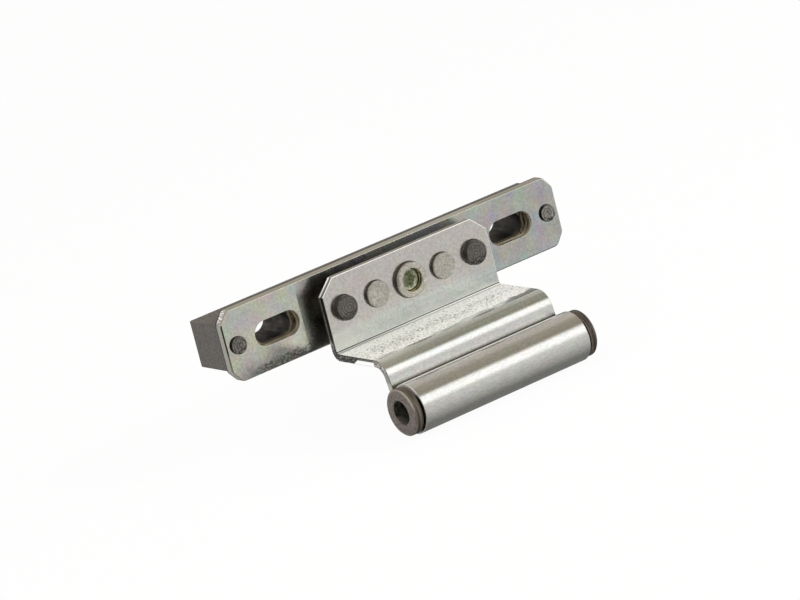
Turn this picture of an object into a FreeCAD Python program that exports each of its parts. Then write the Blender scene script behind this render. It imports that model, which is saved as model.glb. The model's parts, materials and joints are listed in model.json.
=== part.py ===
"""Transom hinge: a slotted base with a groove block, and an adjustable leaf with a rolled knuckle.

Millimetres. X runs along the hinge axis, +Y into the frame profile and +Z up. The origin is midway
between the two fixing slots, in the seat plane where the back of the base plate lies on the profile.
"""
import FreeCAD
import Part

import math
import os

Vector = FreeCAD.Vector

# Fits between pieces, as radial clearances unless a name says otherwise
SEAT_CLEARANCE = 0.02        # pressed and riveted pieces
RUNNING_CLEARANCE = 0.06     # guides that slide and the screw that turns
POCKET_CLEARANCE = 0.3       # round the screw's flange, and past the deepest end of a guide
AXIAL_PLAY = 0.05            # on each side of the screw's flange

# Base plate
PLATE_LENGTH = 140.6
PLATE_WIDTH = 25.0
PLATE_THICKNESS = 3.5
PLATE_CORNER_X = 3.3
PLATE_CORNER_Z = 4.2
PLATE_CORNER_ROUND = 2.6
PLATE_EDGE_CHAMFER = 0.4

# Fixing slots, straight through the plate and the block
SLOT_SPACING = 98.9
SLOT_LENGTH = 18.2
SLOT_WIDTH = 8.8
SLOT_STEP = 1.9              # each end of a slot is this much shorter in the block

# Block in the profile's groove
BLOCK_END_SETBACK = 0.3
BLOCK_WIDTH = 16.5
BLOCK_DEPTH = 16.6
BLOCK_EDGE_ROUND = 0.6

# Rivets that hold the plate to the block
RIVET_END_DISTANCE = 4.7
RIVET_DIAMETER = 6.0
RIVET_PROUD = 1.0
RIVET_DEPTH = 12.0
RIVET_CHAMFER = 0.2

# Folded and rolled leaf
SHEET = 2.5
LEAF_WIDTH = 69.4
LEAF_GAP = 5.5               # plate's front face to the leaf's back face
LEAF_RISE = 11.2             # row of guides to the leaf's top edge
LEAF_CORNER_X = 5.5
LEAF_CORNER_Z = 5.3
LEAF_TRAVEL = 2.0            # each way from rest
SHELF_DROP = 14.0            # row of guides to the shelf's upper face
SHELF_BEND_INNER = 1.0
WEB_BEND_INNER = 4.0
WEB_TILT = 10.0              # degrees that the web leans outward
KNUCKLE_REACH = 44.4         # plate's front face to the hinge axis
KNUCKLE_DROP = 29.6          # row of guides to the hinge axis
KNUCKLE_BORE = 12.5
KNUCKLE_LIP_GAP = 0.3        # free end of the roll to the web

# Guides between the base and the leaf
PIN_END_DISTANCE = 7.3       # end of the leaf to the pin's centre
PIN_DIAMETER = 8.5
PIN_PROUD = 2.4
PIN_DEPTH = 12.0
PIN_CHAMFER = 0.5
STUD_SPACING = 27.8
STUD_DIAMETER = 9.0
STUD_PROUD = 1.4
STUD_DEPTH = 10.0
STUD_CHAMFER = 0.3
STUD_COLLAR_DIAMETER = 11.5
STUD_COLLAR_THICKNESS = 1.5

# Adjusting screw and its nut
NUT_DIAMETER = 12.2
NUT_PROUD = 2.0
NUT_CHAMFER = 0.6
NUT_COLLAR_DIAMETER = 14.5
NUT_COLLAR_THICKNESS = 1.2
NUT_PLATE_GAP = 0.7          # nut's back end to the plate, with the leaf fully in
SCREW_DIAMETER = 7.8
SCREW_RECESS = 0.2           # screw's end below the nut's front face, with the leaf fully in
SCREW_FLANGE_DIAMETER = 12.0
SCREW_FLANGE_THICKNESS = 3.0
SOCKET_ACROSS_FLATS = 5.0
SOCKET_DEPTH = 4.0
SOCKET_MOUTH = 0.4

# Flanged bushes in the knuckle
BUSH_BORE = 8.2
BUSH_FLANGE_DIAMETER = 16.4
BUSH_FLANGE_THICKNESS = 2.9
BUSH_STANDOFF = 0.8          # flange's back to the end of the roll
BUSH_GRIP = 14.0             # length of the shank inside the roll
BUSH_FACE_CHAMFER = 0.6
BUSH_MOUTH_CHAMFER = 0.25

# Places that follow from the sizes above
PLATE_FRONT = -PLATE_THICKNESS
LEAF_BACK = PLATE_FRONT - LEAF_GAP
LEAF_FRONT = LEAF_BACK - SHEET
LEAF_BOTTOM = -SHELF_DROP - SHEET
AXIS_Y = PLATE_FRONT - KNUCKLE_REACH
AXIS_Z = -KNUCKLE_DROP
NUT_FRONT = LEAF_FRONT - NUT_PROUD
NUT_BACK = PLATE_FRONT - NUT_PLATE_GAP - LEAF_TRAVEL
SCREW_FRONT = NUT_FRONT + LEAF_TRAVEL + SCREW_RECESS
SIDES = {"left": -1, "right": 1}


def rod(diameter, front, back, x=0.0):
    """Cylinder along Y on the row of guides, from the front plane to the back plane."""
    return Part.makeCylinder(diameter / 2, back - front, Vector(x, front, 0), Vector(0, 1, 0))


def prism_along_y(points, front, back):
    """Straight prism along Y on an outline of (x, z) points."""
    corners = [Vector(x, front, z) for x, z in points]
    wire = Part.makePolygon(corners + corners[:1])
    return Part.Face(wire).extrude(Vector(0, back - front, 0))


def obround(length, width, front, back, x):
    """Slot-shaped prism along Y, lying along X."""
    half = (length - width) / 2
    ends = [rod(width, front, back, x + side * half) for side in SIDES.values()]
    middle = Part.makeBox(2 * half, back - front, width, Vector(x - half, front, -width / 2))
    return middle.fuse(ends).removeSplitter()


def turned(profile, start, direction):
    """Solid of revolution on an axis, from (distance along the axis, radius) points."""
    side = Vector(0, 0, 1)
    points = [start + direction * along + side * radius for along, radius in profile]
    wire = Part.makePolygon(points + points[:1])
    return Part.Face(wire).revolve(start, direction, 360)


def turned_from_front(profile, front, x=0.0):
    """Solid of revolution along +Y from a front plane, on the row of guides."""
    return turned(profile, Vector(x, front, 0), Vector(0, 1, 0))


def edges_along(shape, axis):
    """Straight edges parallel to a direction."""
    found = []
    for edge in shape.Edges:
        if isinstance(edge.Curve, Part.Line) and abs(edge.Curve.Direction.dot(axis)) > 0.999:
            found.append(edge)
    return found


def edges_at_y(shape, y):
    """Edges that lie in a plane of constant y."""
    return [e for e in shape.Edges if abs(e.BoundBox.YMin - y) + abs(e.BoundBox.YMax - y) < 1e-6]


def pair(spacing):
    """Places of a left and a right piece about the middle."""
    return [side * spacing / 2 for side in SIDES.values()]


def rivet_spacing():
    return PLATE_LENGTH - 2 * RIVET_END_DISTANCE


def pin_spacing():
    return LEAF_WIDTH - 2 * PIN_END_DISTANCE


def stud_bore_depth():
    return STUD_DEPTH + LEAF_TRAVEL + POCKET_CLEARANCE


def flange_pocket_depth():
    return SCREW_FLANGE_THICKNESS + 2 * AXIAL_PLAY


def fixing_slots(length, front, back):
    return [obround(length, SLOT_WIDTH, front, back, x) for x in pair(SLOT_SPACING)]


def base_plate():
    half_x = PLATE_LENGTH / 2
    half_z = PLATE_WIDTH / 2
    inner_x = half_x - PLATE_CORNER_X
    inner_z = half_z - PLATE_CORNER_Z
    outline = [
        (-inner_x, -half_z), (inner_x, -half_z), (half_x, -inner_z), (half_x, inner_z),
        (inner_x, half_z), (-inner_x, half_z), (-half_x, inner_z), (-half_x, -inner_z),
    ]
    plate = prism_along_y(outline, PLATE_FRONT, 0)
    plate = plate.makeFillet(PLATE_CORNER_ROUND, edges_along(plate, Vector(0, 1, 0)))
    plate = plate.makeChamfer(PLATE_EDGE_CHAMFER, edges_at_y(plate, PLATE_FRONT))
    seat, running = 2 * SEAT_CLEARANCE, 2 * RUNNING_CLEARANCE
    holes = fixing_slots(SLOT_LENGTH, PLATE_FRONT, 0)
    holes += [rod(RIVET_DIAMETER + seat, PLATE_FRONT, 0, x) for x in pair(rivet_spacing())]
    holes += [rod(PIN_DIAMETER + seat, PLATE_FRONT, 0, x) for x in pair(pin_spacing())]
    holes += [rod(STUD_DIAMETER + running, PLATE_FRONT, 0, x) for x in pair(STUD_SPACING)]
    holes.append(rod(SCREW_DIAMETER + running, PLATE_FRONT, 0))
    return plate.cut(holes)


def base_block():
    length = PLATE_LENGTH - 2 * BLOCK_END_SETBACK
    block = Part.makeBox(length, BLOCK_DEPTH, BLOCK_WIDTH, Vector(-length / 2, 0, -BLOCK_WIDTH / 2))
    seat_edges = [edge.hashCode() for edge in edges_at_y(block, 0)]
    outer_edges = [edge for edge in block.Edges if edge.hashCode() not in seat_edges]
    block = block.makeFillet(BLOCK_EDGE_ROUND, outer_edges)
    seat, running = 2 * SEAT_CLEARANCE, 2 * RUNNING_CLEARANCE
    holes = fixing_slots(SLOT_LENGTH - 2 * SLOT_STEP, 0, BLOCK_DEPTH)
    holes += [rod(RIVET_DIAMETER + seat, 0, RIVET_DEPTH, x) for x in pair(rivet_spacing())]
    holes += [rod(PIN_DIAMETER + seat, 0, PIN_DEPTH, x) for x in pair(pin_spacing())]
    holes += [rod(STUD_DIAMETER + running, 0, stud_bore_depth(), x) for x in pair(STUD_SPACING)]
    pocket = SCREW_FLANGE_DIAMETER + 2 * POCKET_CLEARANCE
    holes.append(rod(pocket, 0, flange_pocket_depth()))
    return block.cut(holes)


def plain_pin(diameter, chamfer, front, back, x):
    """Straight pin with its front edge broken by a chamfer."""
    radius = diameter / 2
    length = back - front
    profile = [(0, 0), (0, radius - chamfer), (chamfer, radius), (length, radius), (length, 0)]
    return turned_from_front(profile, front, x)


def end_rivet(side):
    x = side * rivet_spacing() / 2
    return plain_pin(RIVET_DIAMETER, RIVET_CHAMFER, PLATE_FRONT - RIVET_PROUD, RIVET_DEPTH, x)


def guide_pin(side):
    x = side * pin_spacing() / 2
    return plain_pin(PIN_DIAMETER, PIN_CHAMFER, LEAF_FRONT - PIN_PROUD, PIN_DEPTH, x)


def guide_stud(side):
    """Stud riveted in the leaf: a collar behind the sheet and a long shank that slides in the base."""
    front = LEAF_FRONT - STUD_PROUD
    shank = STUD_DIAMETER / 2
    collar = STUD_COLLAR_DIAMETER / 2
    collar_start = LEAF_BACK - front
    collar_end = collar_start + STUD_COLLAR_THICKNESS
    length = STUD_DEPTH - front
    profile = [
        (0, 0), (0, shank - STUD_CHAMFER), (STUD_CHAMFER, shank), (collar_start, shank),
        (collar_start, collar), (collar_end, collar), (collar_end, shank), (length, shank), (length, 0),
    ]
    return turned_from_front(profile, front, side * STUD_SPACING / 2)


def adjuster_nut():
    """Threaded bush riveted in the leaf: a proud ring, a collar behind the sheet and a sleeve."""
    bore = SCREW_DIAMETER / 2 + RUNNING_CLEARANCE
    body = NUT_DIAMETER / 2
    collar = NUT_COLLAR_DIAMETER / 2
    collar_start = LEAF_BACK - NUT_FRONT
    collar_end = collar_start + NUT_COLLAR_THICKNESS
    length = NUT_BACK - NUT_FRONT
    profile = [
        (0, bore), (0, body - NUT_CHAMFER), (NUT_CHAMFER, body), (collar_start, body),
        (collar_start, collar), (collar_end, collar), (collar_end, body), (length, body), (length, bore),
    ]
    return turned_from_front(profile, NUT_FRONT)


def adjuster_screw():
    """Socket screw whose flange is held between the block and the plate."""
    shank = SCREW_DIAMETER / 2
    flange = SCREW_FLANGE_DIAMETER / 2
    flange_start = AXIAL_PLAY - SCREW_FRONT
    flange_end = flange_start + SCREW_FLANGE_THICKNESS
    corner = SOCKET_ACROSS_FLATS / math.sqrt(3)
    edge = SOCKET_MOUTH
    profile = [
        (0, 0), (0, shank - edge), (edge, shank), (flange_start, shank),
        (flange_start, flange), (flange_end, flange), (flange_end, 0),
    ]
    screw = turned_from_front(profile, SCREW_FRONT)
    turns = [math.radians(60 * k) for k in range(6)]
    hexagon = [(corner * math.cos(turn), corner * math.sin(turn)) for turn in turns]
    socket = prism_along_y(hexagon, SCREW_FRONT, SCREW_FRONT + SOCKET_DEPTH)
    mouth_profile = [(0, 0), (0, corner + SOCKET_MOUTH), (corner + SOCKET_MOUTH, 0)]
    mouth = turned_from_front(mouth_profile, SCREW_FRONT)
    return screw.cut([socket, mouth])


def arc(centre, radius, start, end):
    """Arc in the plane of the leaf's section, from one angle to another in degrees, +Y towards +Z."""
    points = []
    for angle in (start, (start + end) / 2, end):
        turn = math.radians(angle)
        points.append(centre + Vector(0, radius * math.cos(turn), radius * math.sin(turn)))
    return Part.Arc(*points).toShape()


def leaf_section():
    """Section of the sheet from the top edge, through both folds and the web, to the rolled end."""
    roll_inner = KNUCKLE_BORE / 2
    roll_outer = roll_inner + SHEET
    tilt = math.radians(WEB_TILT)
    axis = Vector(0, AXIS_Y, AXIS_Z)
    shelf_bend = Vector(0, LEAF_FRONT - SHELF_BEND_INNER, -SHELF_DROP + SHELF_BEND_INNER)
    web_bend_z = LEAF_BOTTOM - WEB_BEND_INNER
    web_offset = roll_outer + WEB_BEND_INNER + (web_bend_z - AXIS_Z) * math.sin(tilt)
    web_bend = Vector(0, AXIS_Y + web_offset / math.cos(tilt), web_bend_z)
    lip = math.degrees(math.acos((roll_inner - KNUCKLE_LIP_GAP) / roll_outer))
    roll_start = -WEB_TILT
    roll_end = roll_start + lip - 360

    upper = [
        arc(shelf_bend, SHELF_BEND_INNER, 0, -90),
        arc(web_bend, WEB_BEND_INNER + SHEET, 90, 180 - WEB_TILT),
        arc(axis, roll_inner, roll_start, roll_end),
    ]
    lower = [
        arc(axis, roll_outer, roll_end, roll_start),
        arc(web_bend, WEB_BEND_INNER, 180 - WEB_TILT, 90),
        arc(shelf_bend, SHELF_BEND_INNER + SHEET, -90, 0),
    ]
    top_front = Vector(0, LEAF_FRONT, LEAF_RISE)
    top_back = Vector(0, LEAF_BACK, LEAF_RISE)
    edges = []
    here = top_front
    for curve in upper + lower:
        edges.append(Part.makeLine(here, curve.valueAt(curve.FirstParameter)))
        edges.append(curve)
        here = curve.valueAt(curve.LastParameter)
    edges.append(Part.makeLine(here, top_back))
    edges.append(Part.makeLine(top_back, top_front))
    return Part.Face(Part.Wire(edges))


def hinge_leaf():
    section = leaf_section()
    section.translate(Vector(-LEAF_WIDTH / 2, 0, 0))
    leaf = section.extrude(Vector(LEAF_WIDTH, 0, 0))
    seat, running = 2 * SEAT_CLEARANCE, 2 * RUNNING_CLEARANCE
    cuts = []
    for side in SIDES.values():
        edge = side * LEAF_WIDTH / 2
        corner = [
            (edge, LEAF_RISE), (edge - side * LEAF_CORNER_X, LEAF_RISE), (edge, LEAF_RISE - LEAF_CORNER_Z),
        ]
        cuts.append(prism_along_y(corner, LEAF_FRONT, LEAF_BACK))
    cuts += [rod(PIN_DIAMETER + running, LEAF_FRONT, LEAF_BACK, x) for x in pair(pin_spacing())]
    cuts += [rod(STUD_DIAMETER + seat, LEAF_FRONT, LEAF_BACK, x) for x in pair(STUD_SPACING)]
    cuts.append(rod(NUT_DIAMETER + seat, LEAF_FRONT, LEAF_BACK))
    return leaf.cut(cuts)


def knuckle_bush(side):
    """Flanged bush pressed into one end of the knuckle, its flange just off the end of the roll."""
    bore = BUSH_BORE / 2
    shank = KNUCKLE_BORE / 2 - SEAT_CLEARANCE
    flange = BUSH_FLANGE_DIAMETER / 2
    thickness = BUSH_FLANGE_THICKNESS
    length = thickness + BUSH_STANDOFF + BUSH_GRIP
    profile = [
        (BUSH_MOUTH_CHAMFER, bore), (0, bore + BUSH_MOUTH_CHAMFER), (0, flange - BUSH_FACE_CHAMFER),
        (BUSH_FACE_CHAMFER, flange), (thickness, flange), (thickness, shank),
        (length, shank), (length, bore),
    ]
    face = Vector(side * (LEAF_WIDTH / 2 + BUSH_STANDOFF + thickness), AXIS_Y, AXIS_Z)
    return turned(profile, face, Vector(-side, 0, 0))


def nodes():
    """Every piece by name, in its place at rest."""
    pieces = {
        "base_plate": base_plate(),
        "base_block": base_block(),
        "hinge_leaf": hinge_leaf(),
        "adjuster_nut": adjuster_nut(),
        "adjuster_screw": adjuster_screw(),
    }
    for name, side in SIDES.items():
        pieces["end_rivet_" + name] = end_rivet(side)
        pieces["guide_pin_" + name] = guide_pin(side)
        pieces["guide_stud_" + name] = guide_stud(side)
        pieces["knuckle_bush_" + name] = knuckle_bush(side)
    return pieces


os.makedirs("parts", exist_ok=True)
for node, shape in nodes().items():
    shape.exportStep(os.path.join("parts", node + ".step"))
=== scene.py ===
"""Looks of the transom hinge: rounded edges, zinc, dark steel and brown bushes in a white studio.

Metres. X runs along the hinge axis, +Y into the frame profile and +Z up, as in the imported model.
"""
import json
import math
from functools import partial, reduce
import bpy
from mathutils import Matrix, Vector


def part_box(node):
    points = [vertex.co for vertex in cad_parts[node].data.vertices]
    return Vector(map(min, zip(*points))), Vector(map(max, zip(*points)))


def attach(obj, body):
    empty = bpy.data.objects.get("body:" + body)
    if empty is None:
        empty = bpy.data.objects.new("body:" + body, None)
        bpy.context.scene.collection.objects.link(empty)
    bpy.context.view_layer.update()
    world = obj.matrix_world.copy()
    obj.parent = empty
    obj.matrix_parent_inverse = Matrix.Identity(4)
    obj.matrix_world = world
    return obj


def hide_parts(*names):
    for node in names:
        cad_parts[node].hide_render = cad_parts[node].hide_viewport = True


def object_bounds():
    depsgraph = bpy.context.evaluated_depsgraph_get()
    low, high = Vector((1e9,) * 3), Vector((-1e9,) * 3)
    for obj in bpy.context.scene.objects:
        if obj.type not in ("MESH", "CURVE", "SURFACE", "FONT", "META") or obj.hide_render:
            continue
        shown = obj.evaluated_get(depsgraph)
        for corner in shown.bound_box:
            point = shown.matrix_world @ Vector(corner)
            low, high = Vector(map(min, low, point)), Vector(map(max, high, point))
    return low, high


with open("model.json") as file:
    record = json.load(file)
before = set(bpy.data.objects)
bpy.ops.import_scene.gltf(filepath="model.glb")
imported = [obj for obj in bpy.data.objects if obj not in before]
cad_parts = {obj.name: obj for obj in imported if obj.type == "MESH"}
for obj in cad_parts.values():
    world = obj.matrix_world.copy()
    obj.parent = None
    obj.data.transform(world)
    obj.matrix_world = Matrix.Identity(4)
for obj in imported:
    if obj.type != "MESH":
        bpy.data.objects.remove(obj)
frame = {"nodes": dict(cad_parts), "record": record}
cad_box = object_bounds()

from types import SimpleNamespace

import bmesh
import bpy
from mathutils import Matrix, Vector

MM = 0.001
WHITE = (1.0, 1.0, 1.0)

# Camera at the photograph's viewing angle
CAMERA_AIM = Vector((-6.8, -13.5, -4.71)) * MM
CAMERA_DISTANCE = 1.5644
CAMERA_AZIMUTH = math.radians(31.77)      # heading, from +Y towards +X
CAMERA_ELEVATION = math.radians(14.91)    # looking down
CAMERA_ROLL = math.radians(14.30)         # the camera's up leans to the right
CAMERA_LENS = 210.76
CAMERA_SENSOR = 36.0

# Floor, and how much of it the camera sees as plain white
FLOOR_CLEARANCE = 1.0 * MM
FLOOR_SIZE = 4.0
FLOOR_COLOUR = (0.88, 0.88, 0.87)
FLOOR_WHITE_SHARE = 0.95

# Lamps: name, direction from the object, width and height, watts
LAMP_DISTANCE = 1.0
LAMPS = [
    ("key", (0.51, -0.65, 0.56), (0.6, 0.4), 6.0),
    ("fill", (-0.80, -0.30, 0.52), (0.6, 0.6), 2.0),
]

# Walls of the studio from straight down to straight up, as (z of the direction, colour)
WALLS = [
    (-1.00, (0.18, 0.18, 0.17)), (-0.80, (0.36, 0.36, 0.34)), (-0.50, (0.58, 0.58, 0.56)),
    (-0.25, (0.72, 0.72, 0.70)), (0.02, (0.82, 0.82, 0.80)), (0.30, (0.90, 0.90, 0.88)),
    (0.55, (0.45, 0.422, 0.355)), (0.70, (0.30, 0.278, 0.208)), (0.86, (0.42, 0.39, 0.32)),
    (1.00, (0.50, 0.48, 0.41)),
]

# Panels in front of the walls: direction, angle of the even part, angle of the outer edge, colour
PANELS = [
    ((0.51, 0.60, 0.61), 15, 35, (0.63, 0.59, 0.53)),
    ((0.51, 0.84, 0.18), 12, 26, (0.365, 0.335, 0.29)),
    ((0.51, 0.82, -0.30), 14, 28, (0.04, 0.04, 0.04)),
    ((-0.72, -0.64, -0.26), 24, 44, (0.02, 0.02, 0.02)),
    ((-0.60, 0.15, 0.78), 12, 24, (1.2, 1.2, 1.18)),
    ((0.94, 0.22, -0.26), 14, 24, (1.2, 1.2, 1.2)),
    ((-0.51, 0.82, -0.26), 12, 24, (1.1, 1.1, 1.1)),
    ((-0.24, 0.82, 0.49), 10, 22, (1.3, 1.3, 1.3)),
    ((0.51, 0.30, -0.80), 10, 42, (0.22, 0.22, 0.21)),
    ((0.51, -0.72, 0.46), 10, 20, (1.6, 1.6, 1.58)),
]

# Rounding of edges on the finished pieces
WELD_DISTANCE = 1e-7
FLAT_ANGLE = math.radians(0.2)
SHARP_ANGLE = math.radians(25)
ROUND_SEGMENTS = 3
ROUND_PROFILE = 0.5
SMALL_ROUND = 0.1 * MM
EDGE_ROUNDS = {
    "base_plate": 0.26 * MM,
    "base_block": 0.25 * MM,
    "hinge_leaf": 0.55 * MM,
    "adjuster_nut": 0.3 * MM,
}

# Places that the finishes follow, most of them read from the frame
PLATE_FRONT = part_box("base_plate")[0].y
BLOCK_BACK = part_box("base_block")[1].y
SHEET_THICKNESS = 2.5 * MM
LEAF_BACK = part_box("hinge_leaf")[1].y
LEAF_FRONT = LEAF_BACK - SHEET_THICKNESS
SHELF_TOP = -14.0 * MM
KNUCKLE = next(mount for mount in frame["record"]["mounts"] if mount["name"] == "knuckle_bore")
AXIS_Y, AXIS_Z = KNUCKLE["pos_m"][1:]
BUSH_BORE = KNUCKLE["dims"]["r_mm"] * MM
RIVET_X = sum(corner.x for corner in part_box("end_rivet_right")) / 2
PIN_X = sum(corner.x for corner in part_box("guide_pin_right")) / 2
STUD_X = sum(corner.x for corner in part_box("guide_stud_right")) / 2

# Thread in the nut, in the pitch that the leaf moves in a turn
NUT_BORE = 3.96 * MM
WALL_TOLERANCE = 0.02 * MM
THREAD_PITCH = 1.5 * MM
THREAD_DEPTH = 0.45 * MM
THREAD_ROWS = 64
THREAD_RUN_OUT = 0.5 * MM

# Values between which most of a noise lies, for a roughness and for a shade
ROUGHNESS_NOISE = (0.3, 0.7)
SHADE_NOISE = (0.35, 0.65)

# Sockets of a Mix node's colours, whose names stand for its other kinds of value too
MIX_UNDER, MIX_OVER, MIX_RESULT = 6, 7, 2

# Colours of each finish, where a list is a ramp of (value, colour) stops
# The plate's colours include a painted dark reflection, painted light on its top and on walls that face up,
# painted shade in the gap at the block and a painted highlight along its upper front edge
PLATE = SimpleNamespace(
    left=(0.60, 0.59, 0.53),
    right=(0.49, 0.495, 0.48),
    streaks=(0.56, 0.55, 0.52),
    dark_reflection=(0.15, 0.16, 0.135),
    ends=(0.27, 0.27, 0.225),
    scratched=[(0.42, (0.20, 0.175, 0.15)), (0.6, (0.66, 0.65, 0.62))],
    punched=[(0.40, (0.09, 0.072, 0.046)), (0.58, (0.62, 0.54, 0.40))],
    sill_light=(0.80, 0.77, 0.66),
    top=(0.86, 0.85, 0.79),
    seam=(0.04, 0.036, 0.032),
    wear_and_highlight=(0.90, 0.89, 0.83),
)
# The sheet's colours include painted light and highlights on its folds, edges, cut ends and roll ends,
# painted shade on its back, folds and ends and where the web meets the roll, and a shelf partly painted as
# a highlight
SHEET = SimpleNamespace(
    front_low=(0.63, 0.66, 0.635),
    front_high=(0.655, 0.62, 0.595),
    roll=(0.67, 0.665, 0.645),
    roll_lines=(0.52, 0.51, 0.48),
    streaks=(0.48, 0.50, 0.47),
    lit=(0.88, 0.88, 0.85),
    valley_shade=(0.20, 0.20, 0.18),
    shelf_left=(0.96, 0.965, 0.925),
    shelf_right=(1.0, 1.0, 0.98),
    pits=(0.08, 0.08, 0.07),
    bend=(0.55, 0.56, 0.54),
    bend_highlight=(0.93, 0.93, 0.91),
    bend_left=(0.50, 0.51, 0.49),
    bend_right=(0.90, 0.90, 0.87),
    crease_shade=(0.010, 0.010, 0.008),
    bend_foot_shade=(0.10, 0.10, 0.09),
    back=(0.20, 0.20, 0.185),
    cut=(0.36, 0.36, 0.33),
    front_end_shade=(0.11, 0.095, 0.082),
    front_end_highlight=(0.95, 0.95, 0.93),
    shelf_end_highlight=(0.97, 0.97, 0.95),
    shelf_rim=(0.12, 0.12, 0.10),
    crumple=[(0.48, (0.018, 0.015, 0.013)), (0.60, (0.09, 0.08, 0.07)), (0.66, (0.9, 0.9, 0.88))],
    web_end=(0.25, 0.25, 0.225),
    scuff=[(0.40, (0.09, 0.075, 0.068)), (0.56, (0.33, 0.29, 0.27)), (0.64, (0.90, 0.88, 0.86))],
    roll_end_shade=(0.20, 0.19, 0.17),
    roll_end_light=(0.52, 0.50, 0.46),
    roll_rim_highlight=(0.92, 0.92, 0.89),
    wear_and_highlight=(0.88, 0.88, 0.86),
)
# The block's colours include painted light on its top and in its slots, and painted shade in its slots and
# in the gap at the plate
BLOCK = SimpleNamespace(
    mottle=[(0.3, (0.088, 0.079, 0.073)), (0.7, (0.123, 0.113, 0.105))],
    top=(0.28, 0.255, 0.235),
    slot_shade=[(0.35, (0.022, 0.019, 0.016)), (0.65, (0.075, 0.066, 0.058))],
    lit_slot_floor=(0.20, 0.17, 0.11),
    seam=(0.03, 0.028, 0.026),
    ledge_light_and_shade=[(0.40, (0.05, 0.042, 0.030)), (0.60, (0.40, 0.35, 0.26))],
)
PIN_PITS = (0.012, 0.011, 0.010)
# Painted shade on the bevel round a pin's end
PIN_CHAMFER_SHADE = (0.014, 0.012, 0.011)
RING_GLINT = 1.4    # a pin's bright rings, as a multiple of its lightest shade
# A stud's colours include painted shade on its flanks and in its thread's grooves
STUD = SimpleNamespace(
    rings=(0.22, 0.20, 0.165),
    side=(0.11, 0.092, 0.078),
    thread=[(0.1, (0.46, 0.39, 0.21)), (0.6, (0.06, 0.06, 0.035))],
)
# The screw's grain, whose brightest stop is a painted golden glint
SCREW_GRAIN_AND_GLINTS = [(0.35, (0.27, 0.32, 0.225)), (0.6, (0.64, 0.68, 0.51)), (0.70, (0.95, 0.86, 0.56))]
# The bush's colours include a painted highlight on its face's upper edge, painted shade behind the flange
# and in the bore, and painted light low at the bore's opening
BUSH = SimpleNamespace(
    mottle=[(0.3, (0.105, 0.083, 0.072)), (0.7, (0.145, 0.117, 0.102))],
    rings=(0.22, 0.19, 0.165),
    chamfer_highlight=(0.40, 0.35, 0.30),
    turned=[(0.38, (0.022, 0.017, 0.013)), (0.62, (0.135, 0.112, 0.088))],
    shank_shade=(0.07, 0.06, 0.05),
    bore=[(0.4, (0.025, 0.026, 0.022)), (0.65, (0.10, 0.10, 0.085))],
    mouth_light=(0.17, 0.14, 0.12),
)

# Darkest and lightest shade of each kind of pin and stud, and the painted shade of a pin's flanks
# The two rivets are alike, and the left one's darker shades are painted shade
LEFT_RIVET = ((0.04, 0.037, 0.034), (0.235, 0.22, 0.203), (0.012, 0.011, 0.010))
RIGHT_RIVET = ((0.06, 0.056, 0.051), (0.31, 0.295, 0.275), (0.012, 0.011, 0.010))
GUIDE_PIN = ((0.05, 0.046, 0.041), (0.165, 0.151, 0.136), (0.07, 0.063, 0.056))
GUIDE_STUD = ((0.40, 0.38, 0.335), (0.62, 0.605, 0.55))
NUT = ((0.48, 0.455, 0.41), (0.70, 0.68, 0.62))


class Nodes:
    """A node tree, with short calls that add nodes to it."""

    def __init__(self, tree):
        self.tree = tree

    def add(self, kind, **settings):
        """A new node of a kind, with its settings."""
        node = self.tree.nodes.new(kind)
        for setting, value in settings.items():
            setattr(node, setting, value)
        return node

    def feed(self, socket, value):
        """A value, a colour or another node's output into a socket."""
        if isinstance(value, bpy.types.NodeSocket):
            self.tree.links.new(value, socket)
        elif socket.type == "RGBA":
            socket.default_value = (*value, 1.0)
        else:
            socket.default_value = value

    def math(self, operation, *values):
        """The result of an operation on one to three values."""
        node = self.add("ShaderNodeMath", operation=operation)
        for socket, value in zip(node.inputs, values):
            self.feed(socket, value)
        return node.outputs[0]

    def product(self, *factors):
        """All the factors multiplied."""
        return reduce(partial(self.math, "MULTIPLY"), factors)

    def most(self, *values):
        """The largest of the values."""
        return reduce(partial(self.math, "MAXIMUM"), values)

    def rest(self, share):
        """What a share leaves of one."""
        return self.math("SUBTRACT", 1.0, share)

    def shifted(self, value, by, amount):
        """A value moved along by another, times an amount."""
        return self.math("MULTIPLY_ADD", by, amount, value)

    def part(self, vector, letter):
        """One coordinate of a vector."""
        node = self.add("ShaderNodeSeparateXYZ")
        self.feed(node.inputs[0], vector)
        return node.outputs[letter]

    def span(self, value, low, high, to_low=0.0, to_high=1.0):
        """A value carried smoothly from one range to another, and held at its ends."""
        node = self.add("ShaderNodeMapRange", interpolation_type="SMOOTHSTEP")
        limits = {"Value": value, "From Min": low, "From Max": high, "To Min": to_low, "To Max": to_high}
        for socket, limit in limits.items():
            self.feed(node.inputs[socket], limit)
        return node.outputs["Result"]

    def band(self, value, start, full, full_end, end):
        """One between two places along a value and nothing outside them, with soft edges."""
        return self.product(self.span(value, start, full), self.span(value, end, full_end))

    def ramp(self, value, stops):
        """A colour that changes along a value, from (value, colour) stops."""
        node = self.add("ShaderNodeValToRGB")
        self.feed(node.inputs["Fac"], value)
        elements = node.color_ramp.elements
        while len(elements) < len(stops):
            elements.new(1.0)
        for element, (position, colour) in zip(elements, stops):
            element.position = position
            element.color = (*colour, 1.0)
        return node.outputs["Color"]

    def mix(self, share, under, over):
        """One colour over another."""
        node = self.add("ShaderNodeMix", data_type="RGBA")
        self.feed(node.inputs["Factor"], share)
        self.feed(node.inputs[MIX_UNDER], under)
        self.feed(node.inputs[MIX_OVER], over)
        return node.outputs[MIX_RESULT]


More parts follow.
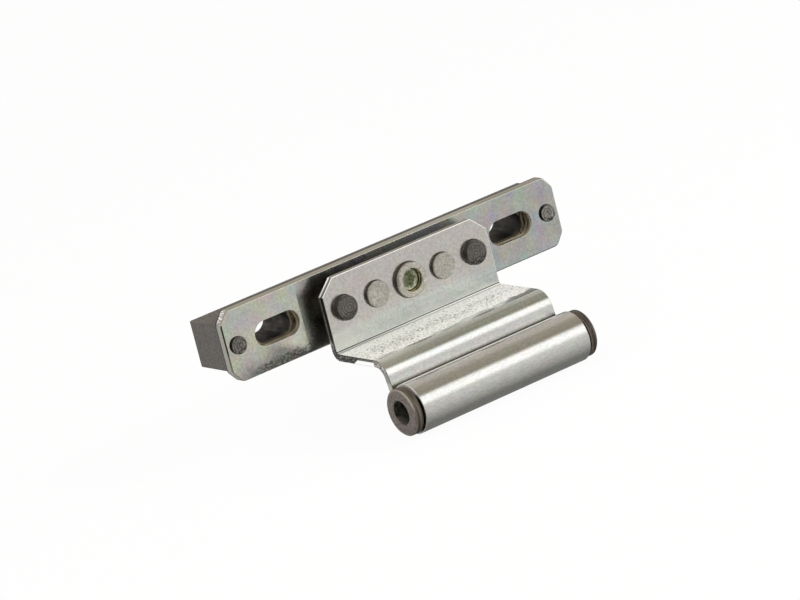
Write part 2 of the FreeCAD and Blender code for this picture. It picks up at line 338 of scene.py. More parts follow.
class Finish(Nodes):
    """A Principled material in the piece's own coordinates."""

    def __init__(self, name):
        self.material = bpy.data.materials.new(name)
        self.material.use_nodes = True
        super().__init__(self.material.node_tree)
        self.shader = self.tree.nodes["Principled BSDF"]
        coordinates = self.add("ShaderNodeTexCoord")
        self.place = coordinates.outputs["Object"]
        self.normal = coordinates.outputs["Normal"]

    def at(self, letter):
        """One coordinate of the point, in metres."""
        return self.part(self.place, letter)

    def away(self, letter):
        """Distance of the point from the middle plane across an axis, in metres."""
        return self.math("ABSOLUTE", self.at(letter))

    def towards(self, letter):
        """How squarely the surface faces along an axis, negative where it faces back."""
        return self.part(self.normal, letter)

    def facing(self, letter):
        """How squarely the surface faces along an axis, either way."""
        return self.math("ABSOLUTE", self.towards(letter))

    def radius(self, across, along):
        """Distance from an axis, from two coordinates counted from it."""
        squares = self.math("ADD", self.product(across, across), self.product(along, along))
        return self.math("SQRT", squares)

    def noise(self, size, detail=2.0, roughness=0.5, stretch=(1, 1, 1), output="Fac"):
        """Noise whose features are about one size across, in metres, longer where stretch is above 1."""
        scaled = self.add("ShaderNodeVectorMath", operation="MULTIPLY")
        self.feed(scaled.inputs[0], self.place)
        self.feed(scaled.inputs[1], [1 / (size * factor) for factor in stretch])
        node = self.add("ShaderNodeTexNoise")
        self.feed(node.inputs["Vector"], scaled.outputs[0])
        self.feed(node.inputs["Scale"], 1.0)
        self.feed(node.inputs["Detail"], detail)
        self.feed(node.inputs["Roughness"], roughness)
        return node.outputs[output]

    def varied(self, noise, low, high):
        """A roughness that follows a noise from a low value to a high one."""
        return self.span(noise, *ROUGHNESS_NOISE, low, high)

    def tinted(self, colour, tint, amount):
        """A colour shifted by a tint of three values about one half."""
        centred = self.add("ShaderNodeVectorMath", operation="SUBTRACT")
        self.feed(centred.inputs[0], tint)
        self.feed(centred.inputs[1], (0.5, 0.5, 0.5))
        shifted = self.add("ShaderNodeVectorMath", operation="MULTIPLY_ADD")
        self.feed(shifted.inputs[0], centred.outputs[0])
        self.feed(shifted.inputs[1], (amount, amount, amount))
        self.feed(shifted.inputs[2], colour)
        return shifted.outputs[0]

    def grained(self, colour, grain, amount):
        """A colour made lighter and darker along a noise, by up to a share of itself."""
        scaled = self.add("ShaderNodeVectorMath", operation="SCALE")
        self.feed(scaled.inputs[0], colour)
        self.feed(scaled.inputs["Scale"], self.span(grain, *SHADE_NOISE, 1 - amount, 1 + amount))
        return scaled.outputs[0]

    def rings(self, across, along, pitch):
        """Height of fine rings about an axis."""
        wave = self.math("SINE", self.math("MULTIPLY", self.radius(across, along), math.tau / pitch))
        return self.math("MULTIPLY_ADD", wave, 0.5, 0.5)

    def bump(self, height, depth, strength, below=None):
        """Relief from a height of 0 to 1, as deep as depth in metres, over any relief below it."""
        node = self.add("ShaderNodeBump")
        self.feed(node.inputs["Strength"], strength)
        self.feed(node.inputs["Distance"], depth)
        self.feed(node.inputs["Height"], height)
        if below is not None:
            self.feed(node.inputs["Normal"], below)
        return node.outputs["Normal"]

    def set(self, **sockets):
        """The material, with its shader's sockets fed by name."""
        for socket, value in sockets.items():
            self.feed(self.shader.inputs[socket.replace("_", " ")], value)
        return self.material


def zinc_plate():
    """Bright zinc with pastel tints, brown punched walls and painted shade in the gap at the block."""
    coat = Finish("zinc_plate")
    x = coat.at("X")
    streaks = coat.noise(0.3 * MM, detail=3.0, stretch=(1, 1, 25))
    sides = coat.span(coat.facing("Y"), 0.5, 0.3)
    walls = coat.product(
        sides, coat.span(coat.away("X"), 66 * MM, 64 * MM), coat.span(coat.away("Z"), 11 * MM, 10 * MM))
    outside = coat.math("SUBTRACT", sides, walls)
    colour = plate_face(coat, streaks)
    colour = plate_ends(coat, colour, outside)
    colour = plate_walls(coat, colour, walls)
    colour = plate_edges(coat, colour, outside)
    # A dull film where the plate would otherwise mirror the leaf too clearly
    behind_leaf = coat.span(coat.away("X"), 39.5 * MM, 38.5 * MM)
    lower_left = coat.product(coat.span(coat.at("Z"), -1 * MM, -4 * MM), coat.span(x, -30 * MM, -40 * MM))
    rough = coat.varied(coat.noise(4 * MM, detail=3.0), 0.08, 0.14)
    rough = coat.math("ADD", rough, coat.product(walls, 0.25))
    dulled = coat.most(coat.product(behind_leaf, 0.15), coat.product(lower_left, 0.08))
    rough = coat.math("ADD", rough, dulled)
    haze = coat.most(
        coat.product(behind_leaf, coat.span(x, -30 * MM, 22 * MM, 0.0, 0.14)),
        coat.product(lower_left, coat.rest(behind_leaf), 0.2),
    )
    metallic = coat.rest(coat.most(coat.product(walls, 0.85), haze))
    relief = coat.bump(streaks, 0.004 * MM, 0.25)
    relief = coat.bump(coat.noise(5 * MM), 0.03 * MM, 0.2, relief)
    return coat.set(Base_Color=colour, Metallic=metallic, Roughness=rough, Normal=relief)


def plate_face(coat, streaks):
    """Zinc that is warmer on the left, with upright streaks and a painted dark reflection at the lower
    left.
    """
    x = coat.at("X")
    colour = coat.mix(coat.span(x, -50 * MM, 50 * MM), PLATE.left, PLATE.right)
    colour = coat.tinted(colour, coat.noise(5 * MM, stretch=(1, 1, 1.2), output="Color"), 0.32)
    colour = coat.mix(coat.span(streaks, 0.45, 0.7, 0.0, 0.25), colour, PLATE.streaks)
    colour = coat.grained(colour, coat.noise(0.9 * MM, detail=3.0), 0.09)
    border = coat.noise(3 * MM, detail=6.0, roughness=0.65, stretch=(1.5, 1, 1))
    ragged = coat.shifted(coat.at("Z"), border, 8 * MM)
    # A painted dark reflection along the lower left edge, broken up by noise
    dark_reflection = coat.product(
        coat.band(x, -67 * MM, -58 * MM, -39 * MM, -36 * MM),
        coat.span(coat.shifted(ragged, x, -0.06), -1.7 * MM, -2.7 * MM),
    )
    reflection_noise = coat.noise(0.7 * MM, detail=4.0, roughness=0.6, stretch=(1.5, 1, 1))
    return coat.mix(coat.product(dark_reflection, coat.span(reflection_noise, 0.42, 0.56, 0.15, 0.90)), colour, PLATE.dark_reflection)


def plate_ends(coat, colour, outside):
    """The plate's colour with dull cut ends and scratched corners."""
    outer = coat.product(coat.facing("X"), outside)
    colour = coat.mix(coat.span(outer, 0.3, 0.6), colour, PLATE.ends)
    scratches = coat.noise(0.5 * MM, stretch=(1, 4, 1))
    corners = coat.band(outer, 0.3, 0.5, 0.9, 0.97)
    return coat.mix(corners, colour, coat.ramp(scratches, PLATE.scratched))


def plate_walls(coat, colour, walls):
    """The plate's colour with brown bands on the walls of its holes, and painted light where they face up.
    """
    bands = coat.noise(1.0 * MM, stretch=(8, 1, 8))
    colour = coat.mix(walls, colour, coat.ramp(bands, PLATE.punched))
    # Painted light on the walls that face up
    sill_light = coat.product(walls, coat.span(coat.towards("Z"), 0.4, 0.9))
    return coat.mix(coat.product(sill_light, 0.12), colour, PLATE.sill_light)


def plate_edges(coat, colour, outside):
    """The plate's colour with painted light on its top, painted shade in the gap at the block and a painted
    highlight along its upper edge in front.
    """
    y, up = coat.at("Y"), coat.towards("Z")
    # Painted light on the faces that look up
    top = coat.product(outside, coat.span(up, 0.8, 0.95))
    colour = coat.mix(coat.product(top, 0.8), colour, PLATE.top)
    # Painted shade in the gap between plate and block
    seam = coat.product(outside, coat.span(y, -0.95 * MM, -0.6 * MM))
    colour = coat.mix(seam, colour, PLATE.seam)
    # A painted highlight along the rounded upper edge of the front
    at_front = coat.span(y, PLATE_FRONT + 0.3 * MM, PLATE_FRONT + 0.23 * MM)
    wear_and_highlight = coat.product(at_front, coat.span(up, 0.15, 0.3))
    return coat.mix(coat.product(wear_and_highlight, 0.8), colour, PLATE.wear_and_highlight)


def zinc_sheet():
    """Satin zinc: a tinted front, a pale pitted shelf, lines along the roll and marked cut edges."""
    coat = Finish("zinc_sheet")
    upper = coat.span(coat.at("Z"), SHELF_TOP - 5 * MM, SHELF_TOP - 1 * MM)
    coarse = coat.noise(0.8 * MM, detail=4.0)
    fine = coat.noise(0.4 * MM, detail=3.0, stretch=(3.5, 1, 1))
    grain = coat.shifted(fine, upper, coat.math("SUBTRACT", coarse, fine))
    lines = coat.product(coat.noise(0.35 * MM, detail=3.0, stretch=(30, 1, 1)), coat.rest(upper))
    cut = coat.span(coat.facing("X"), 0.45, 0.7)
    colour = sheet_face(coat, upper, grain, lines)
    colour = valley_shaded(coat, colour)
    colour, shelf, pits = pitted_shelf(coat, colour)
    colour, inner_bend = folded(coat, colour)
    # Painted shade on the back of the leaf, which faces the plate
    at_back = coat.span(coat.at("Y"), LEAF_BACK - 0.6 * MM, LEAF_BACK - 0.2 * MM)
    colour = coat.mix(coat.product(at_back, coat.span(coat.towards("Y"), 0.5, 0.8)), colour, SHEET.back)
    colour, crumple = cut_ends(coat, colour, cut)
    colour, roll_top = roll_ends(coat, colour)
    # A painted highlight on the front's rounded edges
    wear_and_highlight = highlighted_edges(coat)
    colour = coat.mix(wear_and_highlight, colour, SHEET.wear_and_highlight)
    rough = coat.math("ADD", coat.span(shelf, 0.0, 1.0, 0.22, 0.45), coat.product(cut, 0.1))
    metallic = coat.rest(coat.most(shelf, coat.product(inner_bend, 0.8), roll_top, wear_and_highlight))
    relief = coat.bump(grain, 0.010 * MM, 0.17)
    relief = coat.bump(lines, 0.006 * MM, 0.25, relief)
    relief = coat.bump(pits, -0.06 * MM, 0.6, relief)
    relief = coat.bump(crumple, 0.3 * MM, 0.6, relief)
    return coat.set(Base_Color=colour, Metallic=metallic, Roughness=rough, Normal=relief)


def sheet_face(coat, upper, grain, lines):
    """Zinc with a pinkish upper and a greenish lower front, and drawn lines on the web and roll."""
    x, z = coat.at("X"), coat.at("Z")
    colour = coat.mix(coat.span(z, -8.5 * MM, -5.5 * MM), SHEET.front_low, SHEET.front_high)
    colour = coat.mix(upper, SHEET.roll, colour)
    colour = coat.tinted(colour, coat.noise(4 * MM, detail=3.0, output="Color"), 0.11)
    colour = coat.grained(colour, grain, 0.08)
    colour = coat.mix(coat.span(lines, 0.45, 0.75, 0.0, 0.3), colour, SHEET.roll_lines)
    streaks = coat.noise(1.2 * MM, stretch=(25, 1, 1))
    low = coat.product(upper, coat.span(z, -4 * MM, -9 * MM))
    colour = coat.mix(coat.product(coat.span(streaks, 0.5, 0.7, 0.0, 0.45), low), colour, SHEET.streaks)
    # Painted light on the left of the web and roll
    lit = coat.product(upper, coat.span(z, -5 * MM, -10 * MM), coat.span(x, -12 * MM, -30 * MM))
    return coat.mix(coat.product(lit, 0.5), colour, SHEET.lit)


def valley_shaded(coat, colour):
    """The sheet's colour with a painted shade line where the web meets the roll."""
    on_web = coat.product(
        coat.span(coat.at("Y"), -43 * MM, -42 * MM), coat.span(coat.at("Z"), -22.0 * MM, -22.7 * MM))
    return coat.mix(coat.product(on_web, coat.span(coat.facing("Y"), 0.8, 0.95)), colour, SHEET.valley_shade)


def pitted_shelf(coat, colour):
    """The sheet's colour with the shelf's pale top, partly a white bloom and partly a painted highlight, up
    to its wavy front edge, and the pits in it.
    """
    x, y, z = coat.at("X"), coat.at("Y"), coat.at("Z")
    edge = coat.shifted(y, coat.noise(7 * MM), 7 * MM)
    edge = coat.shifted(edge, x, -0.05)
    edge = coat.shifted(edge, coat.span(x, -18 * MM, -32 * MM), -1.8 * MM)
    level = coat.product(
        coat.band(z, SHELF_TOP - 0.7 * MM, SHELF_TOP - 0.2 * MM, SHELF_TOP + 4 * MM, SHELF_TOP + 6 * MM),
        coat.span(coat.towards("Z"), 0.93, 0.99),
    )
    # The pale top ends at a wavy edge, painted where a reflection in the bend begins
    shelf = coat.product(level, coat.span(edge, -29.4 * MM, -27.9 * MM))
    middle = coat.band(edge, -28 * MM, -23 * MM, -18 * MM, -13 * MM)
    crowded = coat.product(middle, coat.span(coat.noise(4 * MM, stretch=(2, 1, 1)), 0.35, 0.6))
    specks = coat.shifted(coat.noise(0.4 * MM, stretch=(2.6, 1, 1)), crowded, 0.07)
    pits = coat.product(coat.span(specks, 0.585, 0.63), shelf)
    pale = coat.mix(coat.span(x, 0.0, 25 * MM), SHEET.shelf_left, SHEET.shelf_right)
    pale = coat.tinted(pale, coat.noise(1.5 * MM, output="Color"), 0.14)
    colour = coat.mix(shelf, colour, pale)
    return coat.mix(coat.product(pits, 0.95), colour, SHEET.pits), shelf, pits


def folded(coat, colour):
    """The sheet's colour with painted highlight and shade lines along the bend from the front to the shelf.
    """
    x, y, z, up = coat.at("X"), coat.at("Y"), coat.at("Z"), coat.towards("Z")
    # Painted shade on the front's lowest part and the fold
    bend = coat.product(
        coat.span(y, LEAF_FRONT - 2.1 * MM, LEAF_FRONT - 1.4 * MM),
        coat.span(z, SHELF_TOP + 1.4 * MM, SHELF_TOP + 0.9 * MM),
    )
    colour = coat.mix(coat.product(bend, 0.7), colour, SHEET.bend)
    # Through the bend the surface turns from facing ahead to facing up, which tells the lines apart
    near = coat.span(y, LEAF_FRONT - 3.5 * MM, LEAF_FRONT - 2 * MM)
    # A painted highlight line where the bend starts to turn up
    line =coat.product(coat.band(up, 0.03, 0.1, 0.2, 0.28), near)
    colour = coat.mix(line, colour, SHEET.bend_highlight)
    # Painted shade inside the bend, paler towards the right
    inner = coat.product(coat.band(up, 0.54, 0.62, 0.88, 0.94), near)
    inner_shade = coat.mix(coat.span(x, -25 * MM, 5 * MM), SHEET.bend_left, SHEET.bend_right)
    colour = coat.mix(inner, colour, inner_shade)
    # Painted shade in the fold's inner corner
    crease_shade = coat.product(coat.band(up, 0.26, 0.33, 0.54, 0.62), near)
    colour = coat.mix(crease_shade, colour, SHEET.crease_shade)
    # Painted shade where the bend meets the shelf, on the left
    foot_shade = coat.product(coat.band(up, 0.88, 0.92, 0.97, 0.99), near, coat.span(x, 5 * MM, -15 * MM))
    return coat.mix(coat.product(foot_shade, 0.6), colour, SHEET.bend_foot_shade), inner


def cut_ends(coat, colour, cut):
    """The sheet's colour on its cut ends, with the left one given painted shade on the upright, a painted
    highlight along the upright's back and a painted white highlight at the shelf.
    """
    y, z = coat.at("Y"), coat.at("Z")
    colour = coat.mix(coat.product(cut, 0.9), colour, SHEET.cut)
    left = coat.span(coat.at("X"), 1 * MM, -1 * MM)
    # Painted shade on the left end of the upright, with a painted highlight along its back edge
    front_end_shade = coat.product(cut, coat.span(z, SHELF_TOP + 1.5 * MM, SHELF_TOP + 3 * MM), left)
    colour = coat.mix(front_end_shade, colour, SHEET.front_end_shade)
    at_back = coat.span(y, LEAF_BACK - 1.3 * MM, LEAF_BACK - 0.9 * MM)
    colour = coat.mix(coat.product(front_end_shade, at_back), colour, SHEET.front_end_highlight)
    at_shelf = coat.product(
        coat.band(z, SHELF_TOP - 3.5 * MM, SHELF_TOP - 2.8 * MM, SHELF_TOP + 2 * MM, SHELF_TOP + 4 * MM),
        left,
    )
    # A painted highlight that makes the shelf's left end white
    shelf_end_highlight = coat.product(cut, at_shelf, coat.span(y, -33.5 * MM, -32.5 * MM))
    colour = coat.mix(shelf_end_highlight, colour, SHEET.shelf_end_highlight)
    above = coat.span(z, SHELF_TOP - 1.05 * MM, SHELF_TOP - 0.8 * MM)
    rim = coat.product(coat.span(coat.facing("X"), 0.2, 0.35), above, at_shelf)
    colour = coat.mix(rim, colour, SHEET.shelf_rim)
    on_web = coat.product(coat.span(y, -32.5 * MM, -33.5 * MM), coat.span(z, -22 * MM, -21 * MM))
    return battered(coat, colour, shelf_end_highlight, coat.product(cut, left, on_web))


def battered(coat, colour, shelf_end_highlight, web_end):
    """The sheet's colour with a crumple at the fold and a scuff on the web, and the crumple's height."""
    z = coat.at("Z")
    dents = coat.noise(0.6 * MM, detail=3.0, roughness=0.6)
    slanted = coat.shifted(coat.at("Y"), coat.math("SUBTRACT", z, SHELF_TOP), 1.7)
    ragged = coat.shifted(slanted, dents, 4 * MM)
    crumple = coat.product(shelf_end_highlight, coat.span(ragged, -23.2 * MM, -22.6 * MM))
    colour = coat.mix(crumple, colour, coat.ramp(dents, SHEET.crumple))
    colour = coat.mix(web_end, colour, SHEET.web_end)
    scuff = coat.product(web_end, coat.span(z, -18.5 * MM, -17 * MM))
    return coat.mix(scuff, colour, coat.ramp(dents, SHEET.scuff)), coat.product(dents, crumple)


def roll_ends(coat, colour):
    """The sheet's colour with painted shade on the roll's ends, painted light at their top, and painted
    highlights on their rims.
    """
    z, facing = coat.at("Z"), coat.facing("X")
    on_roll = coat.product(coat.span(z, -20 * MM, -21 * MM), coat.span(coat.at("Y"), -40 * MM, -41 * MM))
    # Painted shade on the roll's ends
    end = coat.product(coat.span(facing, 0.9, 0.97), on_roll)
    colour = coat.mix(end, colour, SHEET.roll_end_shade)
    # Painted light at the top of the ends
    top = coat.product(end, coat.span(z, AXIS_Z + 4 * MM, AXIS_Z + 6.5 * MM))
    colour = coat.mix(top, colour, SHEET.roll_end_light)
    # Painted highlights on the rounded rims of the ends
    rim = coat.product(coat.band(facing, 0.2, 0.35, 0.88, 0.94), on_roll)
    return coat.mix(rim, colour, SHEET.roll_rim_highlight), top


def highlighted_edges(coat):
    """Where the front's rounded edges get a painted highlight, along its top and its right end."""
    facing = coat.facing("Y")
    return coat.product(
        coat.span(coat.at("Y"), LEAF_FRONT + 0.6 * MM, LEAF_FRONT + 0.5 * MM),
        coat.span(coat.at("Z"), SHELF_TOP + 3 * MM, SHELF_TOP + 4 * MM),
        coat.band(facing, 0.2, 0.4, 0.90, 0.97),
        coat.span(coat.most(coat.towards("Z"), coat.towards("X")), 0.2, 0.3),
    )


def dark_block():
    """Matte dark steel with upright lines, painted light on top, painted shade in the slots with painted
    light on their floors and ledges, and painted shade in the gap at the plate.
    """
    coat = Finish("dark_block")
    y, up = coat.at("Y"), coat.towards("Z")
    mottle = coat.noise(3 * MM, detail=4.0)
    # Painted light on the faces that look up
    colour = coat.mix(coat.span(up, 0.6, 0.9, 0.0, 0.3), coat.ramp(mottle, BLOCK.mottle), BLOCK.top)
    colour = coat.grained(colour, coat.noise(0.6 * MM, detail=4.0), 0.3)
    slot = coat.product(
        coat.span(coat.away("Z"), 4.8 * MM, 4.5 * MM),
        coat.span(coat.away("X"), 62 * MM, 60 * MM),
        coat.span(y, BLOCK_BACK - 0.3 * MM, BLOCK_BACK - 0.6 * MM),
    )
    # Painted shade in the slots
    colour = coat.mix(slot, colour, coat.ramp(coat.noise(0.8 * MM, stretch=(1, 12, 12)), BLOCK.slot_shade))
    # Painted light on the slots' floors
    lit_slot_floor = coat.product(slot, coat.span(up, 0.6, 0.9), coat.span(y, 4.5 * MM, 0.5 * MM))
    colour = coat.mix(lit_slot_floor, colour, BLOCK.lit_slot_floor)
    # Painted shade in the gap at the plate
    seam = coat.span(y, 0.5 * MM, 0.2 * MM)
    colour = coat.mix(coat.product(seam, coat.rest(slot)), colour, BLOCK.seam)
    # Painted light and shade in streaks on the block's front seen through the plate's holes
    ledge_light_and_shade = coat.product(seam, slot, coat.span(coat.facing("Y"), 0.7, 0.9))
    colour = coat.mix(ledge_light_and_shade, colour, coat.ramp(coat.noise(0.8 * MM, stretch=(1, 1, 8)), BLOCK.ledge_light_and_shade))
    metallic = coat.span(coat.math("SUBTRACT", slot, lit_slot_floor), 0.0, 1.0, 0.4, 1.0)
    relief = coat.bump(coat.noise(0.35 * MM, stretch=(1, 1, 25)), 0.03 * MM, 0.5)
    rough = coat.varied(mottle, 0.45, 0.6)
    return coat.set(Base_Color=colour, Metallic=metallic, Roughness=rough, Normal=relief)


def dark_pin(name, centre_x, low, high, side):
    """Turned dark steel: rings and dark pits on its end, with painted shade on the bevel round its end and
    on its flanks.
    """
    coat = Finish(name)
    z, facing = coat.at("Z"), coat.facing("Y")
    across = coat.math("SUBTRACT", coat.away("X"), centre_x)
    rings = coat.rings(coat.shifted(across, coat.noise(2.5 * MM), 1.2 * MM), z, 1.0 * MM)
    mottle = coat.noise(0.6 * MM, detail=4.0)
    mottled = coat.ramp(mottle, [(0.3, low), (0.7, high)])
    colour = coat.grained(mottled, coat.noise(0.9 * MM, detail=3.0), 0.2)
    bright = coat.ramp(rings, [(0.3, low), (0.9, tuple(RING_GLINT * channel for channel in high))])
    colour = coat.mix(coat.span(coat.noise(2 * MM), 0.4, 0.65, 0.05, 0.6), colour, bright)
    pits = coat.product(coat.span(mottle, 0.54, 0.46), coat.span(z, -0.5 * MM, -2.5 * MM))
    colour = coat.mix(coat.product(pits, 0.85), colour, PIN_PITS)
    # Painted shade on the bevel round the end
    colour = coat.mix(coat.span(facing, 0.66, 0.58), colour, PIN_CHAMFER_SHADE)
    # Painted shade on the flanks
    colour = coat.mix(coat.span(facing, 0.25, 0.12), colour, side)
    relief = coat.bump(rings, 0.02 * MM, 0.6)
    relief = coat.bump(mottle, 0.05 * MM, 0.5, relief)
    rough = coat.varied(mottle, 0.35, 0.5)
    return coat.set(Base_Color=colour, Metallic=0.6, Roughness=rough, Normal=relief)


def pale_stud(name, centre_x, low, high):
    """Pale grainy ends with rings of wear, painted shade on their flanks and a golden thread in a bore,
    with painted shade in its grooves.
    """
    coat = Finish(name)
    x, z, facing = coat.at("X"), coat.at("Z"), coat.facing("Y")
    across = coat.math("SUBTRACT", coat.away("X"), centre_x)
    grain = coat.noise(0.8 * MM, detail=4.0)
    rings = coat.rings(coat.shifted(across, coat.noise(2 * MM), 0.6 * MM), z, 0.75 * MM)
    # Rings of wear on the end
    wear_and_highlight = coat.product(rings, coat.span(coat.noise(1.5 * MM, detail=3.0), 0.4, 0.6))
    colour = coat.grained(coat.ramp(grain, [(0.35, low), (0.65, high)]), coat.noise(0.6 * MM), 0.12)
    colour = coat.tinted(colour, coat.noise(1.0 * MM, output="Color"), 0.10)
    colour = coat.mix(coat.product(wear_and_highlight, 0.5), colour, STUD.rings)
    # Painted shade on the flanks
    colour = coat.mix(coat.span(facing, 0.45, 0.2), colour, STUD.side)
    radius = coat.radius(x, z)
    in_bore = coat.product(coat.span(radius, 4.7 * MM, 4.6 * MM), coat.span(facing, 0.9, 0.7))
    # Golden crests, with painted shade in the thread's grooves and on the bore's rounded opening
    thread = coat.ramp(coat.span(radius, NUT_BORE, NUT_BORE + THREAD_DEPTH), STUD.thread)
    colour = coat.mix(in_bore, colour, coat.grained(thread, grain, 0.5))
    metallic = coat.span(in_bore, 0.0, 1.0, 0.8, 0.4)
    relief = coat.bump(rings, 0.015 * MM, 0.4)
    relief = coat.bump(grain, 0.05 * MM, 0.5, relief)
    rough = coat.varied(grain, 0.35, 0.5)
    return coat.set(Base_Color=colour, Metallic=metallic, Roughness=rough, Normal=relief)


def screw_steel():
    """Olive plated steel with a few painted golden glints."""
    coat = Finish("screw_steel")
    grain = coat.noise(0.7 * MM, detail=3.0)
    relief = coat.bump(grain, 0.08 * MM, 0.5)
    rough = coat.varied(grain, 0.25, 0.4)
    return coat.set(Base_Color=coat.ramp(grain, SCREW_GRAIN_AND_GLINTS), Metallic=0.4, Roughness=rough, Normal=relief)


def bush():
    """Brown sintered metal with turned rings on its face and rim, a painted highlight on the face's upper
    rounded edge, painted shade in the gap behind the flange and in the bore, and painted light low at the
    bore's opening.
    """
    coat = Finish("bush")
    facing = coat.facing("X")
    across = coat.math("SUBTRACT", coat.at("Y"), AXIS_Y)
    along = coat.math("SUBTRACT", coat.at("Z"), AXIS_Z)
    radius = coat.radius(across, along)
    rings = coat.rings(across, along, 0.8 * MM)
    mottle = coat.noise(1.2 * MM, detail=4.0)
    colour = coat.grained(coat.ramp(mottle, BUSH.mottle), coat.noise(0.7 * MM, detail=3.0), 0.4)
    ring_share = coat.product(rings, coat.span(coat.noise(4 * MM), 0.4, 0.6, 0.0, 0.45))
    colour = coat.mix(ring_share, colour, BUSH.rings)
    # A painted highlight on the upper part of the face's rounded edge
    top = coat.product(coat.span(radius, 5.5 * MM, 6 * MM), coat.span(along, -1 * MM, 4 * MM, 0.15, 0.8))
    colour = coat.mix(coat.product(coat.band(facing, 0.5, 0.6, 0.85, 0.95), top), colour, BUSH.chamfer_highlight)
    rim = coat.span(facing, 0.5, 0.3)
    grooves = coat.noise(0.35 * MM, stretch=(1, 30, 30))
    colour = coat.mix(rim, colour, coat.ramp(grooves, BUSH.turned))
    # Painted shade on the bush's body in the gap between flange and roll
    colour = coat.mix(coat.span(radius, 6.6 * MM, 6.4 * MM, 0.0, rim), colour, BUSH.shank_shade)
    # Painted light low at the bore's opening, over painted shade in the bore
    mouth_light = coat.product(
        coat.span(coat.away("X"), 35 * MM, 37.5 * MM), coat.span(along, -1.5 * MM, -2.5 * MM))
    bore = coat.ramp(coat.noise(0.7 * MM, detail=3.0, stretch=(1, 2, 2)), BUSH.bore)
    in_bore = coat.span(radius, BUSH_BORE + 0.1 * MM, BUSH_BORE + 0.02 * MM)
    colour = coat.mix(in_bore, colour, coat.mix(mouth_light, bore, BUSH.mouth_light))
    relief = coat.bump(coat.product(rings, coat.rest(rim)), 0.01 * MM, 0.3)
    relief = coat.bump(coat.product(grooves, rim), 0.03 * MM, 0.5, relief)
    relief = coat.bump(mottle, 0.03 * MM, 0.4, relief)
    rough = coat.varied(mottle, 0.42, 0.55)
    return coat.set(Base_Color=colour, Metallic=0.25, Roughness=rough, Normal=relief)


def cut_thread(bm):
    """A right-hand helical groove in the nut's bore, shallow at both mouths."""
    def on_wall(vertex):
        return abs(math.hypot(vertex.co.x, vertex.co.z) - NUT_BORE) < WALL_TOLERANCE

    def length(edge):
        return abs(edge.verts[0].co.y - edge.verts[1].co.y)

    wall = [edge for edge in bm.edges if all(map(on_wall, edge.verts)) and length(edge) > THREAD_PITCH]
    ends = [vertex.co.y for edge in wall for vertex in edge.verts]
    front, back = min(ends), max(ends)
    made = bmesh.ops.subdivide_edges(bm, edges=wall, cuts=THREAD_ROWS, use_grid_fill=True)
    for vertex in (item for item in made["geom_inner"] if isinstance(item, bmesh.types.BMVert)):
        x, y, z = vertex.co
        phase = y / THREAD_PITCH - math.atan2(x, z) / math.tau
        run = min(1.0, (y - front) / THREAD_RUN_OUT, (back - y) / THREAD_RUN_OUT)
        depth = THREAD_DEPTH * run * (0.5 - 0.5 * math.cos(math.tau * phase))
        vertex.co.x *= 1 + depth / NUT_BORE
        vertex.co.z *= 1 + depth / NUT_BORE


def finished(node, body, edge_round, material):
    """Makes a copy of a CAD node with rounded edges, which stands for the node."""
    data = frame["nodes"][node].data
    mesh = bpy.data.meshes.new(node + "_finished")
    corners = [vertex.co[:] for vertex in data.vertices]
    mesh.from_pydata(corners, [], [face.vertices[:] for face in data.polygons])
    bm = bmesh.new()
    bm.from_mesh(mesh)
    bmesh.ops.remove_doubles(bm, verts=bm.verts, dist=WELD_DISTANCE)
    bmesh.ops.dissolve_limit(bm, angle_limit=FLAT_ANGLE, verts=bm.verts, edges=bm.edges)
    sharp = [edge for edge in bm.edges if edge.calc_face_angle(0.0) > SHARP_ANGLE]
    bmesh.ops.bevel(
        bm, geom=sharp, affect="EDGES", offset=edge_round, offset_type="OFFSET",
        segments=ROUND_SEGMENTS, profile=ROUND_PROFILE, clamp_overlap=True, loop_slide=False,
    )
    if node == "adjuster_nut":
        cut_thread(bm)
    for face in bm.faces:
        face.smooth = True
    bm.to_mesh(mesh)
    bm.free()
    mesh.materials.append(material)
    piece = bpy.data.objects.new(node + "_finished", mesh)
    bpy.context.scene.collection.objects.link(piece)
    weighted = piece.modifiers.new("weighted_normals", "WEIGHTED_NORMAL")
    weighted.keep_sharp = False
    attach(piece, body)
    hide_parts(node)


def make_floor(height):
    """A pale floor that the camera sees nearly white, with the object's shadow on it."""
    bpy.ops.mesh.primitive_plane_add(size=FLOOR_SIZE, location=(0, 0, height))
    floor = bpy.context.object
    floor.name = "floor"
    floor.visible_glossy = False
    material = bpy.data.materials.new("floor")
    material.use_nodes = True
    nodes = Nodes(material.node_tree)
    shader = nodes.tree.nodes["Principled BSDF"]
    nodes.feed(shader.inputs["Base Color"], FLOOR_COLOUR)
    nodes.feed(shader.inputs["Roughness"], 1.0)
    nodes.feed(shader.inputs["Specular IOR Level"], 0.0)
    white = nodes.add("ShaderNodeEmission")
    nodes.feed(white.inputs["Color"], WHITE)
    seen = nodes.add("ShaderNodeLightPath").outputs["Is Camera Ray"]
    mix = nodes.add("ShaderNodeMixShader")
    nodes.feed(mix.inputs["Fac"], nodes.product(seen, FLOOR_WHITE_SHARE))
    nodes.feed(mix.inputs[1], shader.outputs[0])
    nodes.feed(mix.inputs[2], white.outputs[0])
    nodes.feed(nodes.tree.nodes["Material Output"].inputs["Surface"], mix.outputs[0])
    floor.data.materials.append(material)


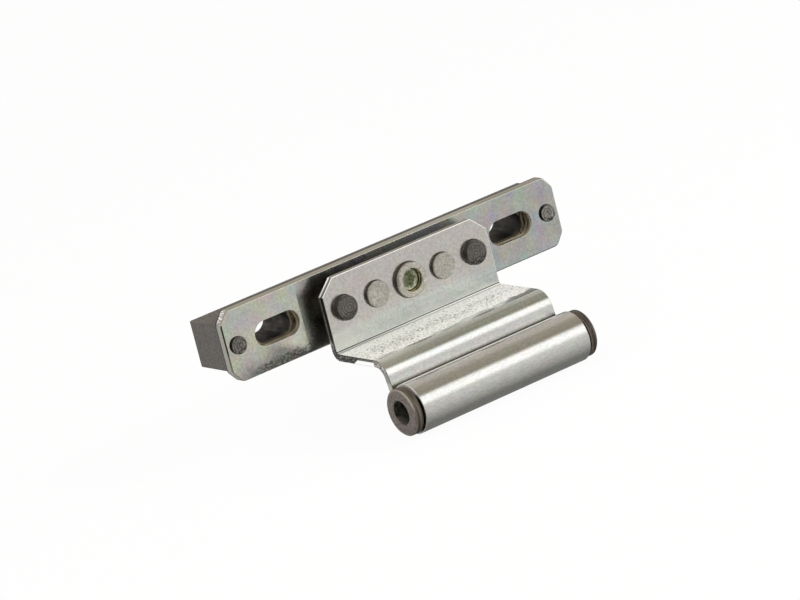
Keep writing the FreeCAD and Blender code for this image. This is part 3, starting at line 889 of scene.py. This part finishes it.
def make_world():
    """Walls shaded from floor to ceiling with panels before them, and pure white behind the object."""
    world = bpy.data.worlds.new("studio")
    bpy.context.scene.world = world
    world.use_nodes = True
    nodes = Nodes(world.node_tree)
    direction = nodes.add("ShaderNodeTexCoord").outputs["Generated"]
    height = nodes.math("MULTIPLY_ADD", nodes.part(direction, "Z"), 0.5, 0.5)
    colour = nodes.ramp(height, [((z + 1) / 2, shade) for z, shade in WALLS])
    for towards, even, edge, shade in PANELS:
        along = nodes.add("ShaderNodeVectorMath", operation="DOT_PRODUCT")
        nodes.feed(along.inputs[0], direction)
        nodes.feed(along.inputs[1], Vector(towards).normalized())
        limits = [math.cos(math.radians(angle)) for angle in (edge, even)]
        colour = nodes.mix(nodes.span(along.outputs["Value"], *limits), colour, shade)
    colour = nodes.mix(nodes.add("ShaderNodeLightPath").outputs["Is Camera Ray"], colour, WHITE)
    nodes.feed(nodes.tree.nodes["Background"].inputs["Color"], colour)


def make_lamp(name, direction, size, power):
    """A soft box that faces the object, and that polished metal doesn't mirror."""
    data = bpy.data.lights.new(name, "AREA")
    data.shape = "RECTANGLE"
    data.size, data.size_y = size
    data.energy = power
    lamp = bpy.data.objects.new(name, data)
    bpy.context.scene.collection.objects.link(lamp)
    lamp.location = CAMERA_AIM + Vector(direction).normalized() * LAMP_DISTANCE
    lamp.rotation_euler = (CAMERA_AIM - lamp.location).to_track_quat("-Z", "Y").to_euler()
    lamp.visible_glossy = False


def make_camera():
    """The camera, aimed by its heading, its tilt and its roll."""
    level = math.cos(CAMERA_ELEVATION)
    along_x, along_y = math.sin(CAMERA_AZIMUTH), math.cos(CAMERA_AZIMUTH)
    forward = Vector((along_x * level, along_y * level, -math.sin(CAMERA_ELEVATION)))
    level_right = Vector((along_y, -along_x, 0))
    level_up = level_right.cross(forward)
    up = level_up * math.cos(CAMERA_ROLL) + level_right * math.sin(CAMERA_ROLL)
    right = level_right * math.cos(CAMERA_ROLL) - level_up * math.sin(CAMERA_ROLL)
    data = bpy.data.cameras.new("camera")
    data.sensor_width = CAMERA_SENSOR
    data.lens = CAMERA_LENS
    camera = bpy.data.objects.new("camera", data)
    bpy.context.scene.collection.objects.link(camera)
    turn = Matrix((right, up, -forward)).transposed().to_4x4()
    camera.matrix_world = Matrix.Translation(CAMERA_AIM - forward * CAMERA_DISTANCE) @ turn
    bpy.context.scene.camera = camera


# Finishes by node, by kind of node or by material slot
finishes = {
    "zinc_plate": zinc_plate(),
    "zinc_sheet": zinc_sheet(),
    "dark_block": dark_block(),
    "end_rivet_left": dark_pin("shaded_rivet", RIVET_X, *LEFT_RIVET),
    "end_rivet_right": dark_pin("grey_rivet", RIVET_X, *RIGHT_RIVET),
    "guide_pin": dark_pin("dark_pin", PIN_X, *GUIDE_PIN),
    "guide_stud": pale_stud("pale_stud", STUD_X, *GUIDE_STUD),
    "adjuster_nut": pale_stud("pale_nut", 0.0, *NUT),
    "screw_steel": screw_steel(),
    "bush": bush(),
}
slots = {part["node"]: part["material_slot"] for part in frame["record"]["subparts"]}
for body, members in frame["record"]["behaviour"]["bodies"].items():
    for node in members:
        kind = node.removesuffix("_left").removesuffix("_right")
        material = finishes.get(node) or finishes.get(kind) or finishes[slots[node]]
        finished(node, body, EDGE_ROUNDS.get(node, SMALL_ROUND), material)

make_floor(cad_box[0].z - FLOOR_CLEARANCE)
make_world()
for lamp in LAMPS:
    make_lamp(*lamp)
make_camera()
bpy.context.scene.view_settings.view_transform = "Standard"
